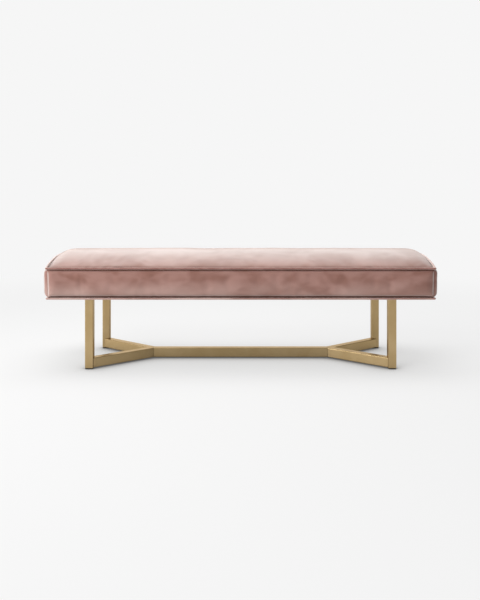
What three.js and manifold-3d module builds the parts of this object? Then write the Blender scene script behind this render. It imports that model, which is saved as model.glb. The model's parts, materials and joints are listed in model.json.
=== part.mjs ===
// A long upholstered bench: a piped, crowned velvet seat on a brass-finished tube base.
// Millimetres. X runs along the bench, -Y is the front, +Z is up, and the floor is z = 0.
import * as THREE from "three";
import { mergeVertices } from "three/addons/utils/BufferGeometryUtils.js";
import Module from "manifold-3d";

// Base: square tube posts set in from the seat's top seam, and a floor-level frame of
// rectangular tube whose arms run in along the bench to the central stretcher.
const POST_INSET_X = 157;
const POST_INSET_Y = 46;
const POST_WIDTH = 32;
const BAR_WIDTH = 32;
const BAR_HEIGHT = 38;
const ARM_RUN_LENGTH = 227;
const TUBE_WALL = 2;
const TUBE_CORNER_RADIUS = 2.4;
const GLIDE_HEIGHT = 5;
const GLIDE_STEM = 14;
const GLIDE_CHAMFER = 1.5;
const WELD_GAP = 0.3;
const MITRE_GAP = 0.9;
const SEAT_CLEARANCE = 0.3;

// Mounting plates, welded on the posts and screwed up into the seat frame.
const PLATE_WIDTH = 68;
const PLATE_THICKNESS = 4;
const PLATE_CORNER_RADIUS = 6;
const SCREW_SPACING = 48;
const SCREW_RADIUS = 2.4;
const SCREW_LENGTH = 22;
const SCREW_HEAD_RADIUS = 4.6;
const SCREW_HEAD_HEIGHT = 2.8;

// Seat: sewn sizes at the top seam, heights above the floor.
const SEAT_LENGTH = 1504;
const SEAT_DEPTH = 452;
const UNDERSIDE_HEIGHT = 285;
const BOXING_HEIGHT = 117;
const SEAM_BELOW_UNDERSIDE = 3;
const BOTTOM_DRAW_IN = 2;
const BOTTOM_GROOVE = 3;
const CROWN_RISE = 57;
const END_SEAM_RISE = 33;
const CROWN_SHOULDER = 18;
const BOXING_PUFF_DEPTH = 17;
const BOXING_SHOULDER = 5;
const PIPING_RADIUS = 4;
const COVER_THICKNESS = 1.2;
const DUST_COVER_THICKNESS = 1;
const DUST_COVER_MARGIN = 3;

// Seat frame of softwood rails, a plywood deck and the foam on it.
const RAIL_THICKNESS = 22;
const RAIL_HEIGHT = 44;
const LEG_BOARD_MARGIN = 10;
const LEG_BOARD_THICKNESS = 26;
const DECK_THICKNESS = 12;
const CORNER_BLOCK_SIDE = 55;
const FRAME_INSET = 5;
const WADDING_THICKNESS = 14;

// The crown's outline from front to back: one minus the share of the half depth to a power.
const CROWN_POWER = 2;
const CROWN_ROUND_SHARE = 0.95;
const CROSS_RAIL_SHARES = [-0.36, 0, 0.36];

// Resolution, and how grid lines crowd towards a seam.
const CELLS_ALONG = 16;
const CELLS_ACROSS = 14;
const CELLS_UP = 6;
const CROWD_ALONG_POWER = 3;
const CROWD_ACROSS_POWER = 2.4;
const CROWD_UP_POWER = 1.7;
const PIPING_SIDES = 8;
const CORNER_STEPS = 3;
const SCREW_SIDES = 8;

// Sizes that follow from the ones above.
const OVERRUN = TUBE_WALL;
const POST_SPACING_X = SEAT_LENGTH - 2 * POST_INSET_X;
const POST_SPACING_Y = SEAT_DEPTH - 2 * POST_INSET_Y;
const STRETCHER_LENGTH = POST_SPACING_X - 2 * ARM_RUN_LENGTH;
const LEG_BOARD_WIDTH = PLATE_WIDTH + 2 * LEG_BOARD_MARGIN;
const METAL_BOTTOM = GLIDE_HEIGHT;
const DUST_COVER_BOTTOM = UNDERSIDE_HEIGHT - DUST_COVER_THICKNESS;
const PLATE_BOTTOM = DUST_COVER_BOTTOM - PLATE_THICKNESS;
const RAIL_TOP = UNDERSIDE_HEIGHT + RAIL_HEIGHT;
const DECK_TOP = RAIL_TOP + DECK_THICKNESS;
const SEAM_BOTTOM = UNDERSIDE_HEIGHT - SEAM_BELOW_UNDERSIDE;
const SEAM_TOP = SEAM_BOTTOM + BOXING_HEIGHT;
const FRAME_LENGTH = SEAT_LENGTH - 2 * (BOTTOM_DRAW_IN + FRAME_INSET);
const FRAME_DEPTH = SEAT_DEPTH - 2 * (BOTTOM_DRAW_IN + FRAME_INSET);
const INNER_DEPTH = FRAME_DEPTH - 2 * RAIL_THICKNESS;
const INNER_LENGTH = FRAME_LENGTH - 2 * RAIL_THICKNESS;
const ARM_ANGLE = Math.atan2(POST_SPACING_Y / 2, ARM_RUN_LENGTH);
const ARM_LENGTH = Math.hypot(POST_SPACING_Y / 2, ARM_RUN_LENGTH);

const wasm = await Module();
wasm.setup();

const BRASS = { color: 0xb59a6a, roughness: 0.34, metalness: 1 };
const ZINC = { color: 0xb8babd, roughness: 0.4, metalness: 1 };
const BLACK_PLASTIC = { color: 0x1d1c1c, roughness: 0.6, metalness: 0 };
const VELVET = { color: 0xb58a80, roughness: 0.9, metalness: 0 };
const PIPING_VELVET = { color: 0xa97b70, roughness: 0.9, metalness: 0 };
const SOFTWOOD = { color: 0xd0ae7c, roughness: 0.75, metalness: 0 };
const PLYWOOD = { color: 0xc9a877, roughness: 0.7, metalness: 0 };
const FOAM = { color: 0xe9dfae, roughness: 0.95, metalness: 0 };
const FIBRE = { color: 0xf2f1ec, roughness: 1, metalness: 0 };
const NONWOVEN = { color: 0xcfc9bf, roughness: 0.95, metalness: 0 };

const bench = new THREE.Group();
bench.name = "upholstered_bench";

function place(name, geometry, finish, parent = bench) {
  const mesh = new THREE.Mesh(geometry, new THREE.MeshStandardMaterial(finish));
  mesh.name = name;
  parent.add(mesh);
  return mesh;
}

// Solids for cutting and joining: a closed geometry as a manifold, and back.
function solid(geometry) {
  const bare = geometry.index ? geometry.toNonIndexed() : geometry.clone();
  bare.deleteAttribute("normal");
  bare.deleteAttribute("uv");
  const merged = mergeVertices(bare);
  return new wasm.Manifold(
    new wasm.Mesh({
      numProp: 3,
      vertProperties: merged.attributes.position.array,
      triVerts: new Uint32Array(merged.index.array),
    }),
  );
}

function geometryOf(manifold) {
  const mesh = manifold.getMesh();
  const geometry = new THREE.BufferGeometry();
  geometry.setAttribute("position", new THREE.BufferAttribute(mesh.vertProperties, 3));
  geometry.setIndex(new THREE.BufferAttribute(mesh.triVerts, 1));
  return geometry;
}

function cut(geometry, cutters) {
  return geometryOf(cutters.reduce((left, tool) => left.subtract(solid(tool)), solid(geometry)));
}

// A box from its lowest corner to its highest.
function block(low, high) {
  const size = high.map((value, axis) => value - low[axis]);
  const geometry = new THREE.BoxGeometry(...size);
  return geometry.translate(...low.map((value, axis) => value + size[axis] / 2));
}

// A rectangle with rounded corners, centred on the origin.
function roundedRectangle(width, height, radius, path = new THREE.Shape()) {
  const x = width / 2;
  const y = height / 2;
  path.moveTo(-x + radius, -y);
  path.lineTo(x - radius, -y);
  path.absarc(x - radius, -y + radius, radius, -Math.PI / 2, 0);
  path.lineTo(x, y - radius);
  path.absarc(x - radius, y - radius, radius, 0, Math.PI / 2);
  path.lineTo(-x + radius, y);
  path.absarc(-x + radius, y - radius, radius, Math.PI / 2, Math.PI);
  path.lineTo(-x, -y + radius);
  path.absarc(-x + radius, -y + radius, radius, Math.PI, 1.5 * Math.PI);
  return path;
}

// A length of hollow tube from the origin along +Z.
function tube(width, height, length) {
  const section = roundedRectangle(width, height, TUBE_CORNER_RADIUS);
  const bore = [width - 2 * TUBE_WALL, height - 2 * TUBE_WALL];
  const boreRadius = Math.max(TUBE_CORNER_RADIUS - TUBE_WALL, TUBE_WALL / 4);
  section.holes.push(roundedRectangle(...bore, boreRadius, new THREE.Path()));
  return new THREE.ExtrudeGeometry(section, { depth: length, bevelEnabled: false, curveSegments: 2 });
}

// The same tube lying on the floor frame's level, from the origin along +X.
function floorBar(length) {
  const bar = tube(BAR_HEIGHT, BAR_WIDTH, length);
  return bar.rotateY(Math.PI / 2).translate(0, 0, METAL_BOTTOM + BAR_HEIGHT / 2);
}

// A tall prism over the plan sector between two directions, moved in from both by half a mitre gap.
function sector(fromAngle, toAngle) {
  const half = (toAngle - fromAngle) / 2;
  const middle = fromAngle + half;
  const tip = MITRE_GAP / 2 / Math.sin(half);
  const reach = POST_SPACING_X / Math.cos(half);
  const x = tip * Math.cos(middle);
  const y = tip * Math.sin(middle);
  const plan = new THREE.Shape([
    new THREE.Vector2(x, y),
    new THREE.Vector2(x + reach * Math.cos(fromAngle), y + reach * Math.sin(fromAngle)),
    new THREE.Vector2(x + reach * Math.cos(toAngle), y + reach * Math.sin(toAngle)),
  ]);
  return new THREE.ExtrudeGeometry(plan, {
    depth: METAL_BOTTOM + BAR_HEIGHT + OVERRUN,
    bevelEnabled: false,
  });
}

// Stretcher along X whose two ends are pointed, each cut on the bisectors with its two arms.
function stretcher() {
  const mitre = (Math.PI + ARM_ANGLE) / 2 - ARM_ANGLE;
  const ends = [
    sector(-mitre, mitre).translate(-STRETCHER_LENGTH / 2, 0, 0),
    sector(Math.PI - mitre, Math.PI + mitre).translate(STRETCHER_LENGTH / 2, 0, 0),
  ];
  const bar = floorBar(STRETCHER_LENGTH).translate(-STRETCHER_LENGTH / 2, 0, 0);
  return geometryOf(ends.reduce((left, keep) => left.intersect(solid(keep)), solid(bar)));
}

// Arm from the stretcher's end at the origin to a post, mitred there and notched round the post.
function arm(sideX, sideY) {
  const turn = Math.atan2(sideY * Math.sin(ARM_ANGLE), sideX * Math.cos(ARM_ANGLE));
  const bar = floorBar(ARM_LENGTH + OVERRUN).translate(-OVERRUN, 0, 0).rotateZ(turn);
  const outward = sideX > 0 ? 0 : sideY * Math.PI;
  const inward = outward + sideX * sideY * ((Math.PI + ARM_ANGLE) / 2);
  const keep = sector(Math.min(outward, inward), Math.max(outward, inward));
  const reach = POST_WIDTH / 2 + WELD_GAP;
  const x = sideX * ARM_RUN_LENGTH;
  const y = (sideY * POST_SPACING_Y) / 2;
  const post = block([x - reach, y - reach, 0], [x + reach, y + reach, UNDERSIDE_HEIGHT]);
  return geometryOf(solid(bar).intersect(solid(keep)).subtract(solid(post)));
}

// Square glide: a chamfered pad under the post and a stem that plugs into its bore.
function glide() {
  const chamfer = GLIDE_CHAMFER;
  const pad = new THREE.ExtrudeGeometry(
    roundedRectangle(POST_WIDTH - 2 * chamfer, POST_WIDTH - 2 * chamfer, chamfer),
    {
      depth: GLIDE_HEIGHT - chamfer,
      bevelThickness: chamfer,
      bevelSize: chamfer,
      bevelOffset: -chamfer / 2,
      bevelSegments: 1,
      curveSegments: 2,
    },
  );
  const skirt = block(
    [-POST_WIDTH, -POST_WIDTH, GLIDE_HEIGHT],
    [POST_WIDTH, POST_WIDTH, GLIDE_HEIGHT + 2 * chamfer],
  );
  const stemSide = POST_WIDTH - 2 * (TUBE_WALL + SEAT_CLEARANCE);
  const stem = block(
    [-stemSide / 2, -stemSide / 2, GLIDE_HEIGHT - chamfer],
    [stemSide / 2, stemSide / 2, GLIDE_HEIGHT + GLIDE_STEM],
  );
  const foot = solid(pad.translate(0, 0, chamfer)).subtract(solid(skirt));
  return geometryOf(foot.add(solid(stem)));
}

// Plan places of a mounting plate's four screws, from the plate's middle.
function screwPlaces() {
  const reach = SCREW_SPACING / 2;
  return [-reach, reach].flatMap((x) => [-reach, reach].map((y) => [x, y]));
}

// A round cutter about one screw, from one height to another.
function screwHole([x, y], bottom, top) {
  const radius = SCREW_RADIUS + SEAT_CLEARANCE;
  const hole = new THREE.CylinderGeometry(radius, radius, top - bottom, SCREW_SIDES);
  return hole.rotateX(Math.PI / 2).translate(x, y, (top + bottom) / 2);
}

function mountingPlate() {
  const outline = roundedRectangle(PLATE_WIDTH, PLATE_WIDTH, PLATE_CORNER_RADIUS);
  const plate = new THREE.ExtrudeGeometry(outline, {
    depth: PLATE_THICKNESS,
    bevelEnabled: false,
    curveSegments: 3,
  });
  const holes = screwPlaces().map((spot) => screwHole(spot, -OVERRUN, PLATE_THICKNESS + OVERRUN));
  return cut(plate, holes);
}

// Pan-head wood screw, head down, with its head's upper face at z = 0.
function screw() {
  const rimShare = 0.6;
  const pointShare = 0.8;
  const profile = [
    [0, -SCREW_HEAD_HEIGHT],
    [SCREW_HEAD_RADIUS * rimShare, -SCREW_HEAD_HEIGHT],
    [SCREW_HEAD_RADIUS, -SCREW_HEAD_HEIGHT * (1 - rimShare)],
    [SCREW_HEAD_RADIUS, 0],
    [SCREW_RADIUS, 0],
    [SCREW_RADIUS, SCREW_LENGTH * pointShare],
    [0, SCREW_LENGTH],
  ];
  const points = profile.map(([radius, height]) => new THREE.Vector2(radius, height));
  return new THREE.LatheGeometry(points, SCREW_SIDES).rotateX(Math.PI / 2);
}

// One post with its glide, mounting plate and four screws, about the post's own axis.
function addPost(sideName, sideX, sideY) {
  const leg = new THREE.Group();
  leg.position.set((sideX * POST_SPACING_X) / 2, (sideY * POST_SPACING_Y) / 2, 0);
  bench.add(leg);
  const post = tube(POST_WIDTH, POST_WIDTH, PLATE_BOTTOM - METAL_BOTTOM);
  place(`${sideName}_post`, post.translate(0, 0, METAL_BOTTOM), BRASS, leg);
  place(`${sideName}_glide`, glide(), BLACK_PLASTIC, leg);
  place(`${sideName}_mounting_plate`, mountingPlate(), BRASS, leg).position.z = PLATE_BOTTOM;
  screwPlaces().forEach(([x, y], index) => {
    const fixing = place(`${sideName}_plate_screw_${index + 1}`, screw(), ZINC, leg);
    fixing.position.set(x, y, PLATE_BOTTOM);
  });
}

// Screw holes under all four posts, cut upwards through what the screws pass.
function allScrewHoles(bottom, top) {
  return [-1, 1].flatMap((sideX) =>
    [-1, 1].flatMap((sideY) =>
      screwPlaces().map(([x, y]) => {
        const spot = [x + (sideX * POST_SPACING_X) / 2, y + (sideY * POST_SPACING_Y) / 2];
        return screwHole(spot, bottom, top);
      }),
    ),
  );
}

// A piece of the seat frame with blind holes where the plate screws enter it.
function drilled(timber) {
  const holeTop = PLATE_BOTTOM + SCREW_LENGTH + SEAT_CLEARANCE;
  return cut(timber, allScrewHoles(UNDERSIDE_HEIGHT - OVERRUN, holeTop));
}

// Board that carries the two plates at one end, flush with the underside of the frame.
function legBoard(side) {
  const middle = (side * POST_SPACING_X) / 2;
  const board = block(
    [middle - LEG_BOARD_WIDTH / 2, -INNER_DEPTH / 2, UNDERSIDE_HEIGHT],
    [middle + LEG_BOARD_WIDTH / 2, INNER_DEPTH / 2, UNDERSIDE_HEIGHT + LEG_BOARD_THICKNESS],
  );
  return drilled(board);
}

// Triangular block glued in one inner corner of the frame.
function cornerBlock(sideX, sideY) {
  const corner = [(sideX * INNER_LENGTH) / 2, (sideY * INNER_DEPTH) / 2];
  const points = [
    new THREE.Vector2(...corner),
    new THREE.Vector2(corner[0] - sideX * CORNER_BLOCK_SIDE, corner[1]),
    new THREE.Vector2(corner[0], corner[1] - sideY * CORNER_BLOCK_SIDE),
  ];
  const prism = new THREE.ExtrudeGeometry(new THREE.Shape(points), {
    depth: RAIL_HEIGHT,
    bevelEnabled: false,
  });
  return prism.translate(0, 0, UNDERSIDE_HEIGHT);
}

function addSeatFrame() {
  const x = FRAME_LENGTH / 2;
  const y = FRAME_DEPTH / 2;
  const innerX = INNER_LENGTH / 2;
  const innerY = INNER_DEPTH / 2;
  const low = UNDERSIDE_HEIGHT;
  place("front_rail", drilled(block([-x, -y, low], [x, -innerY, RAIL_TOP])), SOFTWOOD);
  place("rear_rail", drilled(block([-x, innerY, low], [x, y, RAIL_TOP])), SOFTWOOD);
  place("left_end_rail", block([-x, -innerY, low], [-innerX, innerY, RAIL_TOP]), SOFTWOOD);
  place("right_end_rail", block([innerX, -innerY, low], [x, innerY, RAIL_TOP]), SOFTWOOD);
  CROSS_RAIL_SHARES.forEach((share, index) => {
    const middle = (share * POST_SPACING_X) / 2;
    const half = RAIL_THICKNESS / 2;
    const rail = block([middle - half, -innerY, low], [middle + half, innerY, RAIL_TOP]);
    place(`cross_rail_${index + 1}`, rail, SOFTWOOD);
  });
  place("left_leg_board", legBoard(-1), SOFTWOOD);
  place("right_leg_board", legBoard(1), SOFTWOOD);
  place("front_left_corner_block", cornerBlock(-1, -1), SOFTWOOD);
  place("front_right_corner_block", cornerBlock(1, -1), SOFTWOOD);
  place("rear_left_corner_block", cornerBlock(-1, 1), SOFTWOOD);
  place("rear_right_corner_block", cornerBlock(1, 1), SOFTWOOD);
  place("plywood_deck", block([-x, -y, RAIL_TOP], [x, y, DECK_TOP]), PLYWOOD);
}

// Distances along a span of the given length, crowding towards both of its ends.
function crowded(length, cells, power) {
  return Array.from({ length: cells + 1 }, (unused, index) => {
    const fromMiddle = 1 - (2 * index) / cells;
    const distance = (length / 2) * (1 - Math.abs(fromMiddle)) ** power;
    return fromMiddle > 0 ? distance : length - distance;
  });
}

// How far padding has filled out at a distance from its seam, from 0 at the seam to 1.
const filled = (distance, shoulder) => 1 - Math.exp(-Math.max(distance, 0) / shoulder);

// The crown's height share at a share of the half depth: 1 in the middle, 0 at the seams.
const crownShare = (share) => (1 - Math.min(Math.abs(share), 1) ** CROWN_POWER) ** CROWN_ROUND_SHARE;

// The padded seat's closed outer form, drawn in by an inset all round, as named point functions.
// Its top is a crown between straight front and rear seams and arched end seams.
function seatForm(inset, seamGap = 0) {
  const topX = SEAT_LENGTH / 2 - inset;
  const topY = SEAT_DEPTH / 2 - inset;
  const seamTop = SEAM_TOP - inset;
  const bottom = SEAM_BOTTOM + inset;
  const pipe = PIPING_RADIUS + SEAT_CLEARANCE;
  const crown = (x, y) => {
    const fill = filled(topX - Math.abs(x), CROWN_SHOULDER);
    const rise = END_SEAM_RISE + (CROWN_RISE - END_SEAM_RISE) * fill;
    return seamTop + rise * crownShare(y / topY);
  };
  const alongs = crowded(2 * topX, CELLS_ALONG, CROWD_ALONG_POWER).map((distance) => distance - topX);
  const acrosses = crowded(2 * topY, CELLS_ACROSS, CROWD_ACROSS_POWER).map((distance) => distance - topY);
  // One column of a boxing strip: rise from the bottom seam, and puff between the two seams.
  // A groove stays clear above the bottom piping.
  const column = (top, fromCorner) => {
    const low = pipe + BOTTOM_GROOVE;
    const span = top - bottom - pipe - low;
    const heights = [0, ...crowded(span, CELLS_UP, CROWD_UP_POWER).map((rise) => rise + low), top - bottom];
    const corner = filled(fromCorner, BOXING_SHOULDER);
    return heights.map((rise) => ({
      height: bottom + rise,
      drawn: BOTTOM_DRAW_IN * (1 - rise / (top - bottom)),
      puff:
        BOXING_PUFF_DEPTH *
        corner *
        filled(rise - low, BOXING_SHOULDER) *
        filled(top - bottom - pipe - rise, BOXING_SHOULDER),
    }));
  };
  const long = (side) =>
    alongs.map((x) =>
      column(seamTop - seamGap, topX - Math.abs(x)).map(({ height, drawn, puff }) => [
        (x * (topX - seamGap - drawn)) / topX,
        side * (topY - drawn + puff),
        height,
      ]),
    );
  const end = (side) =>
    acrosses.map((y) =>
      column(crown(topX, y) - seamGap, topY - Math.abs(y)).map(({ height, drawn, puff }) => [
        side * (topX - drawn + puff),
        (y * (topY - seamGap - drawn)) / topY,
        height,
      ]),
    );
  const top = () => alongs.map((x) => acrosses.map((y) => [x, y, crown(x, y)]));
  return { long, end, top, crown };
}

// Triangles of a grid of points, facing the cross product of its row and column directions.
function gridTriangles(grid, flip) {
  const triangles = [];
  for (let row = 0; row + 1 < grid.length; row++)
    for (let col = 0; col + 1 < grid[row].length; col++) {
      const [a, b] = [grid[row][col], grid[row + 1][col]];
      const [c, d] = [grid[row + 1][col + 1], grid[row][col + 1]];
      triangles.push(...(flip ? [a, c, b, a, d, c] : [a, b, c, a, c, d]));
    }
  return triangles;
}

function geometryFromTriangles(points) {
  const geometry = new THREE.BufferGeometry();
  geometry.setAttribute("position", new THREE.Float32BufferAttribute(points.flat(), 3));
  return geometry;
}

// A closed sheet between two grids of the same make, the first of them on the outward side.
function sheet(outer, inner, flip = false) {
  const last = outer.length - 1;
  const lastColumn = outer[0].length - 1;
  const columnOf = (grid, index) => grid.map((row) => row[index]);
  const rims = [
    [inner[0], outer[0]],
    [outer[last], inner[last]],
    [columnOf(outer, 0), columnOf(inner, 0)],
    [columnOf(inner, lastColumn), columnOf(outer, lastColumn)],
  ];
  return geometryFromTriangles([
    ...gridTriangles(outer, flip),
    ...gridTriangles(inner, !flip),
    ...rims.flatMap((rim) => gridTriangles(rim, flip)),
  ]);
}

// The padded form as one closed body: crown, four sides and a flat bottom.
function closedForm(inset) {
  const form = seatForm(inset);
  const sides = [
    [form.long(-1), false],
    [form.long(1), true],
    [form.end(1), false],
    [form.end(-1), true],
  ];
  const middle = [0, 0, SEAM_BOTTOM + inset];
  const bottom = sides.flatMap(([grid, flip]) =>
    grid.slice(1).flatMap((column, index) => {
      const pair = [grid[index][0], column[0]];
      return flip ? [middle, ...pair] : [middle, ...pair.reverse()];
    }),
  );
  return geometryFromTriangles([
    ...gridTriangles(form.top(), false),
    ...sides.flatMap(([grid, flip]) => gridTriangles(grid, flip)),
    ...bottom,
  ]);
}

// Foam block on the deck, flat-sided and crowned, its top one wadding thickness under the cover.
function foamCore(grow = 0) {
  const form = seatForm(COVER_THICKNESS + WADDING_THICKNESS);
  const columns = crowded(FRAME_LENGTH + 2 * grow, CELLS_ALONG / 2, CROWD_ALONG_POWER);
  const rows = crowded(FRAME_DEPTH + 2 * grow, CELLS_ACROSS / 2, CROWD_ACROSS_POWER);
  const limit = SEAT_DEPTH / 2 - COVER_THICKNESS - WADDING_THICKNESS;
  const point = (x, y, bottom) => {
    const inside = Math.max(-limit, Math.min(limit, y));
    return [x, y, bottom ? DECK_TOP - grow : form.crown(x, inside) + grow];
  };
  const grid = (bottom) =>
    columns.map((along) =>
      rows.map((across) =>
        point(along - FRAME_LENGTH / 2 - grow, across - FRAME_DEPTH / 2 - grow, bottom),
      ),
    );
  return sheet(grid(false), grid(true));
}

// Polyester wrap that fills the space between the cover and the core, level with the frame below.
function wadding() {
  const inset = COVER_THICKNESS + SEAT_CLEARANCE;
  const x = FRAME_LENGTH / 2 + SEAT_CLEARANCE;
  const y = FRAME_DEPTH / 2 + SEAT_CLEARANCE;
  const framePocket = block([-x, -y, UNDERSIDE_HEIGHT - OVERRUN], [x, y, DECK_TOP + SEAT_CLEARANCE]);
  const underFrame = block([-SEAT_LENGTH, -SEAT_DEPTH, 0], [SEAT_LENGTH, SEAT_DEPTH, UNDERSIDE_HEIGHT]);
  return cut(closedForm(inset), [framePocket, underFrame, foamCore(SEAT_CLEARANCE)]);
}

function addCover() {
  const outer = seatForm(0);
  const inner = seatForm(COVER_THICKNESS);
  place("top_panel", sheet(outer.top(), inner.top()), VELVET);
  const strips = [seatForm(0, SEAT_CLEARANCE), seatForm(COVER_THICKNESS, SEAT_CLEARANCE)];
  const strip = (part, side, flip) => sheet(...strips.map((form) => form[part](side)), flip);
  place("front_boxing", strip("long", -1, false), VELVET);
  place("rear_boxing", strip("long", 1, true), VELVET);
  place("left_boxing", strip("end", -1, true), VELVET);
  place("right_boxing", strip("end", 1, false), VELVET);
}

// Places along one piping loop: a point, and the direction away from the seat's middle.
function pipingPath(halfX, halfY, endHeight) {
  const stand = PIPING_RADIUS + SEAT_CLEARANCE;
  const ends = crowded(2 * halfY, CELLS_ACROSS, CROWD_ACROSS_POWER)
    .slice(1, -1)
    .map((distance) => distance - halfY);
  const quarter = Math.PI / 2;
  const corner = (sideX, sideY, start) =>
    Array.from({ length: CORNER_STEPS + 1 }, (unused, step) => {
      const angle = start + (quarter * step) / CORNER_STEPS;
      const out = [Math.cos(angle), Math.sin(angle), 0];
      const spot = [sideX * halfX + stand * out[0], sideY * halfY + stand * out[1], endHeight(halfY)];
      return { spot, out };
    });
  const end = (side) =>
    ends.map((y) => ({
      spot: [side * (halfX + stand), side * y, endHeight(y)],
      out: [side, 0, 0],
    }));
  return [
    ...corner(1, -1, -quarter),
    ...end(1),
    ...corner(1, 1, 0),
    ...corner(-1, 1, quarter),
    ...end(-1),
    ...corner(-1, -1, Math.PI),
  ];
}

// A closed loop of round piping: a ring of points square to the path at each place on it.
function piping(path) {
  const count = path.length;
  const rings = path.map(({ spot, out }, index) => {
    const next = new THREE.Vector3(...path[(index + 1) % count].spot);
    const before = new THREE.Vector3(...path[(index + count - 1) % count].spot);
    const middle = new THREE.Vector3(...spot);
    const ahead = next.sub(middle).normalize();
    const tangent = middle.clone().sub(before).normalize().add(ahead).normalize();
    const outward = new THREE.Vector3(...out);
    const across = tangent.clone().cross(outward).normalize();
    return Array.from({ length: PIPING_SIDES + 1 }, (unused, side) => {
      const angle = (2 * Math.PI * (side % PIPING_SIDES)) / PIPING_SIDES;
      const point = middle.clone();
      point.addScaledVector(outward, PIPING_RADIUS * Math.cos(angle));
      point.addScaledVector(across, PIPING_RADIUS * Math.sin(angle));
      return point.toArray();
    });
  });
  return geometryFromTriangles(gridTriangles([...rings, rings[0]], true));
}

function addPiping() {
  const form = seatForm(0);
  const halfX = SEAT_LENGTH / 2;
  const halfY = SEAT_DEPTH / 2;
  const top = pipingPath(halfX, halfY, (y) => form.crown(halfX, y));
  place("top_piping", piping(top), PIPING_VELVET);
  const bottom = pipingPath(halfX - BOTTOM_DRAW_IN, halfY - BOTTOM_DRAW_IN, () => SEAM_BOTTOM);
  place("bottom_piping", piping(bottom), PIPING_VELVET);
}

function dustCover() {
  const x = FRAME_LENGTH / 2 - DUST_COVER_MARGIN;
  const y = FRAME_DEPTH / 2 - DUST_COVER_MARGIN;
  const cloth = block([-x, -y, DUST_COVER_BOTTOM], [x, y, UNDERSIDE_HEIGHT]);
  return cut(cloth, allScrewHoles(DUST_COVER_BOTTOM - OVERRUN, UNDERSIDE_HEIGHT + OVERRUN));
}

function addBase() {
  place("stretcher", stretcher(), BRASS);
  for (const [frontOrRear, sideY] of [["front", -1], ["rear", 1]])
    for (const [leftOrRight, sideX] of [["left", -1], ["right", 1]]) {
      const sideName = `${frontOrRear}_${leftOrRight}`;
      addPost(sideName, sideX, sideY);
      const bar = place(`${sideName}_arm`, arm(sideX, sideY), BRASS);
      bar.position.x = (sideX * STRETCHER_LENGTH) / 2;
    }
}

addBase();
addSeatFrame();
place("foam_core", foamCore(), FOAM);
place("wadding", wadding(), FIBRE);
addCover();
addPiping();
place("dust_cover", dustCover(), NONWOVEN);

export default bench;
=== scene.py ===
import json
import math

import bmesh
import bpy
import numpy as np
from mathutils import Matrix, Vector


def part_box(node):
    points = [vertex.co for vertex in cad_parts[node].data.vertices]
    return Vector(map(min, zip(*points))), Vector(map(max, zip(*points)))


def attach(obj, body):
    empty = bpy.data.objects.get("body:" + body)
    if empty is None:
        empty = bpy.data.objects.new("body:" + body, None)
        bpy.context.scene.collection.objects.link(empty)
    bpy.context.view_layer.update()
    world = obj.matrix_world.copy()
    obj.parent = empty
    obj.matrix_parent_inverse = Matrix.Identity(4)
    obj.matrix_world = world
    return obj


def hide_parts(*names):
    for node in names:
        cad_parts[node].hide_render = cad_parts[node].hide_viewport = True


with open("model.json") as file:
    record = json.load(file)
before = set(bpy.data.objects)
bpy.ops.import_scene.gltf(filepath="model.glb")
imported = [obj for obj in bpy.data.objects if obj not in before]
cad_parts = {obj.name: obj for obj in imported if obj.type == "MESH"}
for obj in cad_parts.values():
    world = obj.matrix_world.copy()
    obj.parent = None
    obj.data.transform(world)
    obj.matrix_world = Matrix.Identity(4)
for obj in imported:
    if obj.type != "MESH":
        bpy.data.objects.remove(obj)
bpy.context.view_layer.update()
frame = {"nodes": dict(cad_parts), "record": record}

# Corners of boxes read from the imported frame: the low one is item 0 and the high one is item 1.
PANEL_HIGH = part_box("top_panel")[1]
TOP_PIPE_LOW, TOP_PIPE_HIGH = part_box("top_piping")
BOTTOM_PIPE_LOW, BOTTOM_PIPE_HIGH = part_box("bottom_piping")
STRIP_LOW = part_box("front_boxing")[0]
POST_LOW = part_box("front_left_post")[0]
RAIL_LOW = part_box("front_rail")[0]
CLOTH_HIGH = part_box("dust_cover")[1]
PLATE_LOW, PLATE_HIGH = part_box("rear_right_mounting_plate")

# Sizes that follow from them, all in metres like the rest of this file.
PIPE_RADIUS = (BOTTOM_PIPE_HIGH[2] - BOTTOM_PIPE_LOW[2]) / 2
PIPE_STAND = TOP_PIPE_HIGH[0] - PANEL_HIGH[0] - PIPE_RADIUS
HALF_LENGTH = PANEL_HIGH[0]
HALF_DEPTH = PANEL_HIGH[1]
SEAM_TOP = TOP_PIPE_LOW[2] + PIPE_RADIUS
SEAM_BOTTOM = STRIP_LOW[2]
CROWN_RISE = PANEL_HIGH[2] - SEAM_TOP
END_SEAM_RISE = TOP_PIPE_HIGH[2] - PIPE_RADIUS - SEAM_TOP
DRAW_IN = TOP_PIPE_HIGH[0] - BOTTOM_PIPE_HIGH[0]
FRAME_UNDERSIDE = RAIL_LOW[2]

# Padding: how far the strips puff out, and how soon they fill beside a seam.
BOXING_PUFF = 0.0168
BOXING_SHOULDER = 0.005
CORNER_SHOULDER = 0.009
BOTTOM_GROOVE = 0.0057
GROOVE_END = 0.012
CROWN_SHOULDER = 0.018
CROWN_POWER = 2.0
CROWN_ROUND_SHARE = 0.95
SEAM_TUCK = 0.0026
TUCK_REACH = 0.0026
CORNER_TUCK = 0.0016

# Soft unevenness: its height, the size of its cells, and how far from an edge it has filled out.
BOXING_UNEVEN = 0.0016
BOXING_CELLS = (0.17, 0.07)
BOXING_UNEVEN_REACH = 0.03
CROWN_UNEVEN = 0.0011
CROWN_CELLS = (0.13, 0.09)
UNEVEN_REACH = 0.04
LATTICE_SIZE = 96
SEEDS = {
    "crown": 3,
    "long_gathers": 11,
    "end_gathers": 13,
    "panel_shade": 17,
    "long_strips": 21,
    "end_strips": 31,
    "top_piping": 41,
    "bottom_piping": 43,
    "dust_cloth": 51,
}

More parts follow.
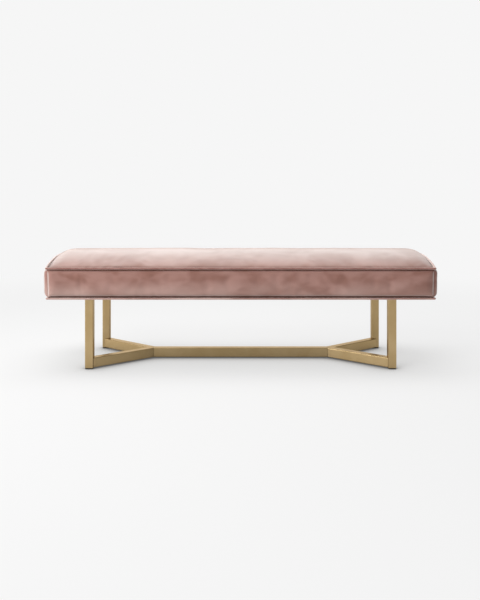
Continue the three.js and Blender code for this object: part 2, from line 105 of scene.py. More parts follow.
# Small gathers beside the seams, whose spacing wanders and whose strength comes and goes.
PUCKER_HEIGHT = 0.0022
PUCKER_REACH = 0.014
PUCKER_SPACING = 0.05
PUCKER_WANDER = 1.2
PUCKER_WANDER_CELL = 0.06
PUCKER_STRENGTH_CELL = 0.11
PUCKER_BIAS = 0.2
PUCKER_END_REACH = 0.02
PUCKER_SHIFTS = (0.4, 0.9)

# Painted shade of the seams: a mask that the velvet reads to darken its colour, with its share and its reach
# from each seam.
# It is painted shade in the grooves, above the piping, in the corner seams, under the top piping and a little
# in from the corners.
SEAM_SHADE_REACH = 0.0016
PANEL_SHADE_REACH = 4 * SEAM_SHADE_REACH
PIPE_SHADOW = 0.005
PANEL_SHADE_LEVEL = 0.75
PANEL_SHADE_DRIFT = 0.3
PANEL_SHADE_CELLS = (0.028, 0.5)
CORNER_SEAM_SHADE_SHARE = 0.5
CORNER_SEAM_SHADE_REACH = 0.6 * SEAM_SHADE_REACH
TOP_SHADE_SHARE = 0.34
TOP_SHADE_REACH = 0.008
CORNER_SHADE_SHARE = 0.2
CORNER_SHADE_REACH = 0.028

# The cover's edge turned under the frame, and the dust cover that hangs a little between its staples.
HEM_TURN = 0.0018
HEM_GAP = 0.0002
CLOTH_THICK = 0.0003
CLOTH_SAG = 0.0045
CLOTH_CREASE = 0.0007
STAPLE_SPACING = 0.045
STAPLE_CREASE_REACH = 0.03
STAPLE_HOLD = 0.004
PLATE_HOLD = 0.055
END_SAG_REACH = 0.16
DRIFT_CELLS = (0.07, 0.04)
DRIFT_REACH = 0.02
CLOTH_CELLS = (240, 72)

# The cloth simulation that settles the cover on its padding, and how far it may move a point.
HELD_REACH = 0.009
CLOTH_FRAMES = 20
CLOTH_PRESSURE = 4.0
CLOTH_SPARE_SHARE = 0.02
BROAD_ROUNDS = 80
CREASE_ROUNDS = 3
FOLD_CAP = 0.0025
SETTLE_CAP = 0.0008
CROWN_FOLD_SHARE = 0.28
PIN_LEVELS = 8

# The covered cord: how deep it sits in its seam, how uneven it is, and the cells of its grid.
PIPE_BED = 0.0008
PIPE_UNEVEN = 0.03
PIPE_CELL = 0.03
PIPE_CELLS_LONG = 200
PIPE_CELLS_END = 90
PIPE_CELLS_TURN = 8
PIPE_CELLS_ROUND = 16

# Grid cells of the cushion, and how its grid lines crowd towards the seams.
CELLS_ALONG = 240
CELLS_ACROSS = 96
CELLS_UP = 28
CROWDING = 1.3
SEAM_WELD = 0.00002
EDGE_WELD = 0.00001

# The photograph's camera, level, with its frame shifted down to hold the bench.
IMAGE_WIDTH, IMAGE_HEIGHT = 480, 600
FOCAL_PX = 720.0
HORIZON_PX = 183.3
CENTRE_PX = 240.7
MM_PER_PX = 3.92
SENSOR_MM = 36.0
CAMERA_HEIGHT = 0.7295
CAMERA_DISTANCE = FOCAL_PX * MM_PER_PX / 1000

# Velvet: the ranges of a mask, a facing or a height are (where it starts, where it is full).
PILE_SHIFT = (4.1, 2.3, 1.7)
PILE_STRETCH = (1.0, 1.0, 1.6)
PATCH_RANGE = (0.36, 0.66)
MARK_SCALE_RATIO = 2.4
MARK_SHARE = 0.6
MARK_RANGE = (0.33, 0.68)
NAP_SCALE = 1400.0
NAP_STRENGTH = 0.25
NAP_DEPTH = 0.0006
# Painted light low down on the strips, as if thrown up from the pale floor: the paler tone's share rises
# towards the bottom seam and wanders with a noise.
LOW_PAINTED_LIGHT_RANGE = (SEAM_TOP - 0.035, SEAM_BOTTOM + 0.012)
LOW_PAINTED_LIGHT_WANDER_SCALE = 5.0
LOW_PAINTED_LIGHT_WANDER_RANGE = (0.3, 0.62)
LOW_PAINTED_LIGHT_SHARES = (0.15, 0.75)
# Painted sheen: where the velvet turns from the eye, and seen edge-on, its colour is mixed towards paler
# tones.
PAINTED_SHEEN_RANGE = (0.3, 0.86)
EDGE_ON_SHEEN_RANGE = (0.78, 0.98)
EDGE_ON_SHEEN_TONE = (0.44, 0.335, 0.295)
EDGE_ON_SHEEN_SHARE = 0.9
# Painted shade: the dark tone that the seam mask mixes into the velvet's colour, and its share.
PAINTED_SEAM_SHADE = (0.05, 0.016, 0.009)
PAINTED_SEAM_SHADE_SHARE = 0.85

# Brass and the grained finishes.
BRASS_TONES = ((0.47, 0.335, 0.165), (0.52, 0.38, 0.2))
BRASS_DRIFT_SCALE = 9.0
BRASS_GRAIN_SCALE = 420.0
BRASS_GRAIN_RANGE = (0.3, 0.7)
BRASS_ROUGHNESS = (0.32, 0.4)
BRASS_GRAIN_STRENGTH = 0.06
BRASS_GRAIN_DEPTH = 0.0002
GRAIN_RANGE = (0.35, 0.65)
GRAIN_STRENGTH = 0.2
GRAIN_DEPTH = 0.0003

# Floor: its glow stands in for the lit floor, and painted shadow dims it beside the base and under the seat;
# less of it lights the bench from near by.
BACKDROP_TONE = 0.922
FLOOR_SIDE = 30.0
FLOOR_ALBEDO = 0.74
FLOOR_LIT_SHARE = 0.3
FLOOR_FADE_RANGE = (1.0, 3.2)
FLOOR_BOUNCE = 0.5
FLOOR_BOUNCE_RANGE = (0.35, 1.3)
FLOOR_BOUNCE_STRETCH = (1.7, 1.0, 1.0)
CONTACT_REACH = 0.2
CONTACT_RANGE = (0.3, 1.0)
CONTACT_GLOW_SHARE = 0.16
SEAT_REACH = 0.42
SEAT_RANGE = (0.35, 0.95)
SEAT_GLOW_SHARE = 0.88
SHADE_SAMPLES = 12

# Room round the bench: brighter on the left than on the right, with a glow behind it.
ROOM_STRENGTH = 0.68
ROOM_SIDE_RANGE = (-0.8, 0.8)
ROOM_SIDE_TONES = (1.4, 0.3)
ROOM_BEHIND_RANGE = (0.75, 0.98)
ROOM_BEHIND_TONE = 1.5


def filled(distance, shoulder):
    """How far padding has filled out at a distance from its seam: one minus a falling exponential."""
    return 1 - np.exp(-np.maximum(distance, 0) / shoulder)


def crowded(half, cells):
    """Places from -half to half: the distance to the nearer end grows as a power of the cell's share."""
    share = np.linspace(-1, 1, cells + 1)
    return np.sign(share) * half * (1 - (1 - np.abs(share)) ** CROWDING)


def uneven(u, v, cell_u, cell_v, seed):
    """Smooth random heights from -1 to 1: random values on a lattice, blended by cosine in both ways."""
    rng = np.random.default_rng(seed)
    lattice = rng.uniform(-1, 1, (LATTICE_SIZE, LATTICE_SIZE))
    middle = LATTICE_SIZE // 2
    a, b = np.asarray(u) / cell_u + middle, np.asarray(v) / cell_v + middle
    i, j = np.floor(a).astype(int), np.floor(b).astype(int)
    s, t = (1 - np.cos(np.pi * (a - i))) / 2, (1 - np.cos(np.pi * (b - j))) / 2
    i, j = i % (LATTICE_SIZE - 1), j % (LATTICE_SIZE - 1)
    low = lattice[i, j] * (1 - s) + lattice[i + 1, j] * s
    high = lattice[i, j + 1] * (1 - s) + lattice[i + 1, j + 1] * s
    return low * (1 - t) + high * t


def crown_share(share):
    """The crown from front to back: one minus the share of the half depth squared, a little rounded."""
    return (1 - np.clip(np.abs(share), 0, 1) ** CROWN_POWER) ** CROWN_ROUND_SHARE


def crown_height(x, y):
    """Height of the plain crown: straight long seams, arched end seams, and a shoulder at each end."""
    fill = filled(HALF_LENGTH - np.abs(x), CROWN_SHOULDER)
    return SEAM_TOP + (END_SEAM_RISE + (CROWN_RISE - END_SEAM_RISE) * fill) * crown_share(y / HALF_DEPTH)


def puckers(along, from_seam, seed):
    """Small gathers square to a seam: a wave along it, stronger in some places, dying away from it."""
    wander = PUCKER_WANDER * uneven(along, 0 * along, PUCKER_WANDER_CELL, 1, seed)
    phase = 2 * np.pi * (along / PUCKER_SPACING + wander)
    strength = np.clip(uneven(along, 0 * along, PUCKER_STRENGTH_CELL, 1, seed + 1) + PUCKER_BIAS, 0, 1)
    rise = from_seam / PUCKER_REACH
    return PUCKER_HEIGHT * strength * np.cos(phase) * rise * np.exp(1 - 2 * rise)


def top_panel_grid():
    """The crown over a crowded grid, with soft unevenness, gathers beside its seams and a tucked edge.

    The gathers of opposite seams start at different places, so that they don't mirror each other.
    """
    x, y = np.meshgrid(crowded(HALF_LENGTH, CELLS_ALONG), crowded(HALF_DEPTH, CELLS_ACROSS), indexing="ij")
    edge_x, edge_y = HALF_LENGTH - np.abs(x), HALF_DEPTH - np.abs(y)
    edge = np.minimum(edge_x, edge_y)
    z = crown_height(x, y)
    z = z + CROWN_UNEVEN * uneven(x, y, *CROWN_CELLS, SEEDS["crown"]) * filled(edge, UNEVEN_REACH)
    by_long_seams = puckers(x + PUCKER_SHIFTS[0] * np.sign(y), edge_y, SEEDS["long_gathers"])
    by_end_seams = puckers(y + PUCKER_SHIFTS[1] * np.sign(x), edge_x, SEEDS["end_gathers"])
    z = z + by_long_seams * filled(edge_x, PUCKER_END_REACH)
    z = z + by_end_seams * filled(edge_y, PUCKER_END_REACH)
    z = z - SEAM_TUCK * np.exp(-edge / TUCK_REACH)
    # Painted shade on the panel beside its seam, strongest just above the piping, with a strength that drifts
    # along it.
    gather = PANEL_SHADE_LEVEL + PANEL_SHADE_DRIFT * uneven(x, y, *PANEL_SHADE_CELLS, SEEDS["panel_shade"])
    shade = gather * np.exp(-np.maximum(edge - PIPE_SHADOW, 0) / PANEL_SHADE_REACH)
    return np.stack([x, y, z, shade, np.exp(-edge / HELD_REACH)], axis=-1)


def strip_grid(seam, half_along, along, bottom_groove, corner_shoulder, seed):
    """A boxing strip as columns along its seam: place along it, distance out of it, height, shade, hold.

    Rows rise from the bottom seam to the top one. The distance out is the puff, filled out from all four
    edges, plus soft unevenness and gathers, less the tuck at each edge. The shade is painted shade, a mask
    that darkens the velvet's colour, and is the strongest of four: in the seams' grooves, in the corner seam,
    under the top piping, and a soft one a little in from the corner.
    """
    rows = (crowded(0.5, CELLS_UP) + 0.5)[None, :]
    height = SEAM_BOTTOM + rows * (seam - SEAM_BOTTOM)[:, None]
    below, above = height - SEAM_BOTTOM, seam[:, None] - height
    gap = np.minimum(below, above)
    corner = (half_along - np.abs(along))[:, None] + 0 * rows
    ride = along[:, None] + 0 * rows
    puff = BOXING_PUFF * filled(corner, corner_shoulder)
    low = below - PIPE_RADIUS - bottom_groove * filled(corner, GROOVE_END)
    puff = puff * filled(low, BOXING_SHOULDER)
    puff = puff * filled(above - PIPE_RADIUS, BOXING_SHOULDER)
    loose = filled(gap, BOXING_UNEVEN_REACH) * filled(corner, UNEVEN_REACH)
    puff = puff + BOXING_UNEVEN * uneven(ride, height, *BOXING_CELLS, seed) * loose
    puff = puff + puckers(ride, gap, seed + 5) * filled(corner, PUCKER_END_REACH)
    puff = puff - SEAM_TUCK * np.exp(-gap / TUCK_REACH) * filled(corner, BOXING_SHOULDER)
    corner_tuck = CORNER_TUCK * filled(gap, BOXING_SHOULDER)
    puff = puff - corner_tuck * np.exp(-corner / TUCK_REACH)
    puff[:, 0], puff[:, -1] = 0, 0
    drawn = DRAW_IN * (1 - rows) + 0 * height
    reach = half_along - drawn - corner_tuck
    groove = np.minimum(np.maximum(low, 0), np.maximum(above - PIPE_RADIUS, 0))
    # Painted shade: the strongest of the grooves, the corner seam, the zone under the top piping and a soft
    # band a little in from the corner.
    by_corner = corner / CORNER_SHADE_REACH
    shade = np.maximum.reduce([
        np.exp(-groove / SEAM_SHADE_REACH),
        CORNER_SEAM_SHADE_SHARE * np.exp(-corner / CORNER_SEAM_SHADE_REACH),
        TOP_SHADE_SHARE * np.exp(-np.maximum(above - PIPE_RADIUS, 0) / TOP_SHADE_REACH),
        CORNER_SHADE_SHARE * by_corner * np.exp(1 - by_corner),
    ])
    held = np.exp(-np.minimum(gap, corner) / HELD_REACH)
    return along[:, None] * reach / half_along, puff - drawn, height, shade, held


def long_strip_grid(side):
    """The front (-1) or rear (1) strip, under the straight long seam."""
    x = crowded(HALF_LENGTH, CELLS_ALONG)
    seam = top_panel_seam(x, np.full_like(x, side * HALF_DEPTH))
    strip = strip_grid(seam, HALF_LENGTH, x, BOTTOM_GROOVE, CORNER_SHOULDER, SEEDS["long_strips"] + side)
    along, out, height, shade, held = strip
    return np.stack([along, side * (HALF_DEPTH + out), height, shade, held], axis=-1)


def end_strip_grid(side):
    """The left (-1) or right (1) strip, whose top follows the arched end seam."""
    y = crowded(HALF_DEPTH, CELLS_ACROSS)
    seam = top_panel_seam(np.full_like(y, side * HALF_LENGTH), y)
    strip = strip_grid(seam, HALF_DEPTH, y, 0, BOXING_SHOULDER, SEEDS["end_strips"] + side)
    along, out, height, shade, held = strip
    return np.stack([side * (HALF_LENGTH + out), along, height, shade, held], axis=-1)


def top_panel_seam(x, y):
    """Height of the top seam where the tucked panel ends."""
    return crown_height(x, y) - SEAM_TUCK


def underside_grid():
    """The cover turned under: it rises from the bottom seam, filled out, and lies flat under the frame."""
    x, y = np.meshgrid(crowded(1, CELLS_ALONG), crowded(1, CELLS_ACROSS), indexing="ij")
    x, y = x * (HALF_LENGTH - DRAW_IN), y * (HALF_DEPTH - DRAW_IN)
    edge = np.minimum(HALF_LENGTH - DRAW_IN - np.abs(x), HALF_DEPTH - DRAW_IN - np.abs(y))
    z = SEAM_BOTTOM + (FRAME_UNDERSIDE - HEM_GAP - SEAM_BOTTOM) * filled(edge, HEM_TURN)
    return np.stack([x, y, z, 0 * x, 0 * x + 1], axis=-1)


def grid_faces(rows, columns, start, flip):
    """Quads of a rows by columns grid of vertices, as an array of four indices each."""
    index = start + np.arange(rows * columns).reshape(rows, columns)
    quads = np.stack([index[:-1, :-1], index[1:, :-1], index[1:, 1:], index[:-1, 1:]], axis=-1).reshape(-1, 4)
    return quads[:, ::-1] if flip else quads


def mesh_object(name, grids, smooth=True, weld=0.0):
    """An object from point grids, each with a flag that turns its faces round; weld joins shared edges.

    A fourth and a fifth number beside a point are kept as the attributes painted_seam_shade and held.
    """
    points, faces, start = [], [], 0
    for grid, flip in grids:
        rows, columns = grid.shape[:2]
        points.append(grid.reshape(rows * columns, -1))
        faces.append(grid_faces(rows, columns, start, flip))
        start += rows * columns
    mesh = bpy.data.meshes.new(name)
    points = np.concatenate(points)
    mesh.from_pydata(points[:, :3].tolist(), [], np.concatenate(faces).tolist())
    for label, column in zip(("painted_seam_shade", "held"), points.T[3:]):
        mesh.attributes.new(label, "FLOAT", "POINT").data.foreach_set("value", column.astype(np.float32))
    if weld:
        work = bmesh.new()
        work.from_mesh(mesh)
        bmesh.ops.remove_doubles(work, verts=work.verts, dist=weld)
        work.to_mesh(mesh)
        work.free()
    if smooth:
        mesh.shade_smooth()
    piece = bpy.data.objects.new(name, mesh)
    bpy.context.scene.collection.objects.link(piece)
    return piece


def seat_cushion():
    """The closed cover of the seat: the crown, four strips and the part turned under, welded at the seams."""
    grids = [
        (top_panel_grid(), False),
        (long_strip_grid(-1), False),
        (long_strip_grid(1), True),
        (end_strip_grid(1), False),
        (end_strip_grid(-1), True),
        (underside_grid(), True),
    ]
    return mesh_object("seat_cushion", grids, weld=SEAM_WELD)


def neighbour_mean(values, edges, rounds):
    """Each point's value replaced, round after round, by the mean of its own and its neighbours' values."""
    start, end = np.concatenate([edges, edges[:, ::-1]]).T
    count = len(values)
    share = 1 + np.bincount(start, minlength=count)
    for _ in range(rounds):
        total = [np.bincount(start, values[end, axis], minlength=count) for axis in range(3)]
        values = (values + np.stack(total, axis=-1)) / share[:, None]
    return values


def capped(moves, longest):
    """Moves shortened to at most the longest one allowed."""
    length = np.linalg.norm(moves, axis=1, keepdims=True)
    return moves * np.minimum(1, longest / np.maximum(length, 1e-9))


def settle_cover(piece):
    """The cover settles on its padding: a cloth simulation under pressure, with the seams held.

    The cloth is cut a little larger than the form, so that it folds. Of each point's move, the fine part,
    the move less its mean over many rings of neighbours, and the broad part are each kept within a cap.
    A few more rounds round off the creases. The crown is stretched over the foam, so that it keeps only a
    share of its folds.
    """
    mesh = piece.data
    count = len(mesh.vertices)
    held = np.empty(count, np.float32)
    mesh.attributes["held"].data.foreach_get("value", held)
    mesh.attributes.remove(mesh.attributes["held"])
    before = np.empty(count * 3, np.float32)
    mesh.vertices.foreach_get("co", before)
    before = before.reshape(-1, 3)
    edges = np.empty(len(mesh.edges) * 2, np.int32)
    mesh.edges.foreach_get("vertices", edges)
    edges = edges.reshape(-1, 2)
    pins = piece.vertex_groups.new(name="seams")
    level = np.round(held * PIN_LEVELS).astype(int)
    for step in range(1, PIN_LEVELS + 1):
        pins.add(np.flatnonzero(level == step).tolist(), step / PIN_LEVELS, "REPLACE")
    cloth = piece.modifiers.new("settling_cover", "CLOTH")
    settings = cloth.settings
    settings.quality = 5
    settings.mass = 0.3
    settings.tension_stiffness = settings.compression_stiffness = 15
    settings.shear_stiffness = 5
    settings.bending_stiffness = 0.5
    settings.vertex_group_mass = pins.name
    settings.use_pressure = True
    settings.uniform_pressure_force = CLOTH_PRESSURE
    settings.shrink_min = -CLOTH_SPARE_SHARE
    settings.effector_weights.gravity = 0
    cloth.point_cache.frame_start, cloth.point_cache.frame_end = 1, CLOTH_FRAMES
    for frame_number in range(1, CLOTH_FRAMES + 1):
        bpy.context.scene.frame_set(frame_number)
    shown = piece.evaluated_get(bpy.context.evaluated_depsgraph_get())
    after = np.empty(count * 3, np.float32)
    shown.data.vertices.foreach_get("co", after)
    piece.modifiers.remove(cloth)
    piece.vertex_groups.remove(pins)
    bpy.context.scene.frame_set(1)
    move = after.reshape(-1, 3) - before
    broad = neighbour_mean(move, edges, BROAD_ROUNDS)
    kept = capped(move - broad, FOLD_CAP) + capped(broad, SETTLE_CAP)
    kept = neighbour_mean(kept, edges, CREASE_ROUNDS)
    normals = np.empty(count * 3, np.float32)
    mesh.vertex_normals.foreach_get("vector", normals)
    upward = np.clip(normals.reshape(-1, 3)[:, 2], 0, 1)
    loose = (1 - held) * (1 - (1 - CROWN_FOLD_SHARE) * upward)
    settled = before + kept * loose[:, None]
    mesh.vertices.foreach_set("co", settled.astype(np.float32).ravel())
    mesh.update()
    mesh.shade_smooth()


def dust_cloth_grid(lift):
    """The dust cover: it sags as a dome upside down, held level at its edges and over the leg plates.

    Faint creases run between the staples and die away from the edge.
    """
    half_x, half_y = CLOTH_HIGH[0], CLOTH_HIGH[1]
    along_x = np.linspace(-half_x, half_x, CLOTH_CELLS[0] + 1)
    along_y = np.linspace(-half_y, half_y, CLOTH_CELLS[1] + 1)
    x, y = np.meshgrid(along_x, along_y, indexing="ij")
    edge_x, edge_y = half_x - np.abs(x), half_y - np.abs(y)
    edge = np.minimum(edge_x, edge_y)
    beside_x = np.maximum(np.maximum(PLATE_LOW[0] - np.abs(x), np.abs(x) - PLATE_HIGH[0]), 0)
    beside_y = np.maximum(np.maximum(PLATE_LOW[1] - np.abs(y), np.abs(y) - PLATE_HIGH[1]), 0)
    free = 1 - np.exp(-(beside_x**2 + beside_y**2) / PLATE_HOLD**2)
    sag = CLOTH_SAG * filled(edge_x, END_SAG_REACH) * (1 - (y / half_y) ** 2) * free
    along = np.where(edge_x < edge_y, y, x)
    crease = np.sin(np.pi * along / STAPLE_SPACING) ** 2 * np.exp(-edge / STAPLE_CREASE_REACH)
    crease = crease * filled(edge, STAPLE_HOLD)
    drift = (1 + uneven(x, y, *DRIFT_CELLS, SEEDS["dust_cloth"])) / 2
    sag = sag + CLOTH_CREASE * free * (crease + drift * filled(edge, DRIFT_REACH))
    z = FRAME_UNDERSIDE - 2 * HEM_GAP - CLOTH_THICK - sag + lift
    return np.stack([x, y, z], axis=-1)


def dust_cloth():
    """Two faces of the cloth, one thickness apart, with a narrow band round the edge."""
    low, high = dust_cloth_grid(0.0), dust_cloth_grid(CLOTH_THICK)
    bands = [
        (np.stack([low[:, 0], high[:, 0]], axis=1), True),
        (np.stack([low[:, -1], high[:, -1]], axis=1), False),
        (np.stack([low[0], high[0]], axis=1), False),
        (np.stack([low[-1], high[-1]], axis=1), True),
    ]
    return mesh_object("dust_cloth_sheet", [(low, True), (high, False), *bands], weld=EDGE_WELD)


def piping_path(half_x, half_y, seam_height, stand):
    """Points round a seam, and the outward direction at each: straight runs joined by quarter circles."""
    turns = np.linspace(0, np.pi / 2, PIPE_CELLS_TURN + 1)
    long_run = crowded(half_x, PIPE_CELLS_LONG)[1:-1]
    end_run = crowded(half_y, PIPE_CELLS_END)[1:-1]
    points, outs = [], []
    for side_x, side_y, start in ((1, -1, -np.pi / 2), (1, 1, 0), (-1, 1, np.pi / 2), (-1, -1, np.pi)):
        angle = start + turns
        out = np.stack([np.cos(angle), np.sin(angle)], axis=-1)
        points.append(np.array([side_x * half_x, side_y * half_y]) + stand * out)
        outs.append(out)
        if side_x == side_y:
            run = -side_y * long_run
            points.append(np.stack([run, np.full_like(run, side_y * (half_y + stand))], axis=-1))
            outs.append(np.tile([0.0, side_y], (len(run), 1)))
        else:
            run = side_x * end_run
            points.append(np.stack([np.full_like(run, side_x * (half_x + stand)), run], axis=-1))
            outs.append(np.tile([side_x, 0.0], (len(run), 1)))
    plan, out = np.concatenate(points), np.concatenate(outs)
    height = seam_height(plan[:, 0], plan[:, 1])
    return np.column_stack([plan, height]), np.column_stack([out, 0 * height])


def piping(name, half_x, half_y, seam_height, seed):
    """Covered cord round a seam: circles square to the path, a little uneven, joined end to end."""
    centre, out = piping_path(half_x, half_y, seam_height, PIPE_STAND - PIPE_BED)
    ahead = np.roll(centre, -1, axis=0) - centre
    ahead /= np.linalg.norm(ahead, axis=1, keepdims=True)
    tangent = ahead + np.roll(ahead, 1, axis=0)
    tangent /= np.linalg.norm(tangent, axis=1, keepdims=True)
    across = np.cross(tangent, out)
    across /= np.linalg.norm(across, axis=1, keepdims=True)
    angle = np.linspace(0, 2 * np.pi, PIPE_CELLS_ROUND + 1)
    run = np.concatenate([[0], np.cumsum(np.linalg.norm(np.diff(centre, axis=0), axis=1))])
    radius = PIPE_RADIUS * (1 + PIPE_UNEVEN * uneven(run, 0 * run, PIPE_CELL, 1, seed))
    ring = out[:, None] * np.cos(angle)[None, :, None] + across[:, None] * np.sin(angle)[None, :, None]
    grid = centre[:, None] + radius[:, None, None] * ring
    grid = np.concatenate([grid, grid[:1]])
    return mesh_object(name, [(grid, True)], weld=EDGE_WELD)


def node_group(name, inputs, outputs):
    """An empty shader group: inputs are given as {name: (kind, default)}, and outputs as {name: kind}."""
    group = bpy.data.node_groups.new(name, "ShaderNodeTree")
    for label, (kind, default) in inputs.items():
        made = group.interface.new_socket(name=label, in_out="INPUT", socket_type=kind)
        made.default_value = default
    for label, kind in outputs.items():
        group.interface.new_socket(name=label, in_out="OUTPUT", socket_type=kind)
    return group, group.nodes.new("NodeGroupInput"), group.nodes.new("NodeGroupOutput")


def noise_node(tree, vector, scale, detail=2.0, distortion=0.0):
    """A soft noise along a vector."""
    node = tree.nodes.new("ShaderNodeTexNoise")
    node.inputs["Scale"].default_value = scale
    node.inputs["Detail"].default_value = detail
    node.inputs["Distortion"].default_value = distortion
    tree.links.new(vector, node.inputs["Vector"])
    return node.outputs["Fac"]


def map_range(tree, value, given, wanted=(0.0, 1.0)):
    """A value eased from one range, as (first, last), to another."""
    node = tree.nodes.new("ShaderNodeMapRange")
    node.interpolation_type = "SMOOTHSTEP"
    for label, number in zip(("From Min", "From Max", "To Min", "To Max"), (*given, *wanted)):
        node.inputs[label].default_value = number
    tree.links.new(value, node.inputs["Value"])
    return node.outputs["Result"]


def math_node(tree, operation, a, b):
    """A sum, product or the like of two values, each a socket or a number."""
    node = tree.nodes.new("ShaderNodeMath")
    node.operation = operation
    for socket, value in zip(node.inputs, (a, b)):
        if isinstance(value, (int, float)):
            socket.default_value = value
        else:
            tree.links.new(value, socket)
    return node.outputs[0]


def mix_colour(tree, factor, a, b):
    """The first colour turned into the second by a factor; each colour is a socket or a tuple."""
    node = tree.nodes.new("ShaderNodeMix")
    node.data_type = "RGBA"
    tree.links.new(factor, node.inputs[0])
    for socket, value in ((node.inputs[6], a), (node.inputs[7], b)):
        if isinstance(value, (tuple, list)):
            socket.default_value = (*value[:3], 1.0)
        else:
            tree.links.new(value, socket)
    return node.outputs[2]


def object_vector(tree, stretch=(1.0, 1.0, 1.0), shift=(0.0, 0.0, 0.0)):
    """Object coordinates, stretched and shifted."""
    coordinates = tree.nodes.new("ShaderNodeTexCoord")
    mapping = tree.nodes.new("ShaderNodeMapping")
    mapping.inputs["Scale"].default_value = stretch
    mapping.inputs["Location"].default_value = shift
    tree.links.new(coordinates.outputs["Object"], mapping.inputs["Vector"])
    return mapping.outputs["Vector"]


def material(name, roughness, metallic=0.0, **sockets):
    """A material with one Principled shader; sockets are its uniform values."""
    made = bpy.data.materials.new(name)
    made.use_nodes = True
    shader = made.node_tree.nodes["Principled BSDF"]
    shader.inputs["Roughness"].default_value = roughness
    shader.inputs["Metallic"].default_value = metallic
    for label, value in sockets.items():
        shader.inputs[label.replace("_", " ")].default_value = value
    return made, made.node_tree, shader


def bump(tree, shader, height, strength, distance):
    """A height put into the shader's normal."""
    node = tree.nodes.new("ShaderNodeBump")
    node.inputs["Strength"].default_value = strength
    node.inputs["Distance"].default_value = distance
    tree.links.new(height, node.inputs["Height"])
    tree.links.new(node.outputs["Normal"], shader.inputs["Normal"])


def crushed_pile():
    """Velvet's pile as a group: masks of broad patches and of smaller marks on them, and a fine nap."""
    group, given, result = node_group(
        "crushed_pile",
        {"Vector": ("NodeSocketVector", (0, 0, 0)), "Patch scale": ("NodeSocketFloat", 7.0)},
        {"Patches": "NodeSocketFloat", "Marks": "NodeSocketFloat", "Nap": "NodeSocketFloat"},
    )
    vector = given.outputs["Vector"]
    broad = noise_node(group, vector, 1.0, detail=2.5, distortion=0.6)
    group.links.new(given.outputs["Patch scale"], broad.node.inputs["Scale"])
    group.links.new(map_range(group, broad, PATCH_RANGE), result.inputs["Patches"])
    mark_scale = math_node(group, "MULTIPLY", given.outputs["Patch scale"], MARK_SCALE_RATIO)
    marks = noise_node(group, vector, 1.0, detail=1.0, distortion=0.3)
    group.links.new(mark_scale, marks.node.inputs["Scale"])
    marks = math_node(group, "MULTIPLY", math_node(group, "SUBTRACT", marks, 0.5), MARK_SHARE)
    both = math_node(group, "ADD", broad, marks)
    group.links.new(map_range(group, both, MARK_RANGE), result.inputs["Marks"])
    nap = noise_node(group, vector, NAP_SCALE)
    group.links.new(nap, result.inputs["Nap"])


def velvet(name, deep, brushed, pale, painted_sheen_deep, painted_sheen_pale, patch_scale):
    """Dusty velvet: brushed marks over a deep pile, paler low down and where it turns from the eye.

    Seen edge-on the pile turns to one tone, a painted sheen; the paler colour where it turns from the eye is
    painted sheen too, the paler colour low down is painted light, and the seams are darkened by their mask as
    painted shade.
    """
    made, tree, shader = material(
        name,
        roughness=0.85,
        Sheen_Weight=0.6,
        Sheen_Roughness=0.38,
        Sheen_Tint=(1.0, 0.86, 0.82, 1.0),
        Specular_IOR_Level=0.0,
    )
    vector = object_vector(tree, PILE_STRETCH, PILE_SHIFT)
    pile = tree.nodes.new("ShaderNodeGroup")
    pile.node_tree = bpy.data.node_groups["crushed_pile"]
    pile.inputs["Patch scale"].default_value = patch_scale
    tree.links.new(vector, pile.inputs["Vector"])
    tint = mix_colour(tree, pile.outputs["Marks"], deep, brushed)
    # Painted light low down: the colour turns paler towards the bottom seam, as if lit from the pale floor,
    # by a share that wanders.
    height = tree.nodes.new("ShaderNodeSeparateXYZ")
    tree.links.new(object_vector(tree), height.inputs[0])
    low = map_range(tree, height.outputs["Z"], LOW_PAINTED_LIGHT_RANGE)
    wander = noise_node(tree, vector, LOW_PAINTED_LIGHT_WANDER_SCALE, detail=1.0)
    low = math_node(tree, "MULTIPLY", low, map_range(tree, wander, LOW_PAINTED_LIGHT_WANDER_RANGE, LOW_PAINTED_LIGHT_SHARES))
    tint = mix_colour(tree, low, tint, pale)
    # Painted sheen: where the surface turns from the eye the colour is mixed towards paler tones, and seen
    # edge-on towards one pinkish-grey tone.
    facing = tree.nodes.new("ShaderNodeLayerWeight")
    facing.inputs["Blend"].default_value = 0.5
    painted_sheen = map_range(tree, facing.outputs["Facing"], PAINTED_SHEEN_RANGE)
    painted_sheen_tone = mix_colour(tree, pile.outputs["Patches"], painted_sheen_deep, painted_sheen_pale)
    tint = mix_colour(tree, painted_sheen, tint, painted_sheen_tone)
    edge_on_sheen = map_range(tree, facing.outputs["Facing"], EDGE_ON_SHEEN_RANGE, (0.0, EDGE_ON_SHEEN_SHARE))
    tint = mix_colour(tree, edge_on_sheen, tint, EDGE_ON_SHEEN_TONE)
    seam = tree.nodes.new("ShaderNodeAttribute")
    seam.attribute_name = "painted_seam_shade"
    painted_shade_share = math_node(tree, "MULTIPLY", seam.outputs["Fac"], PAINTED_SEAM_SHADE_SHARE)
    tint = mix_colour(tree, painted_shade_share, tint, PAINTED_SEAM_SHADE)
    tree.links.new(tint, shader.inputs["Base Color"])
    bump(tree, shader, pile.outputs["Nap"], NAP_STRENGTH, NAP_DEPTH)
    return made


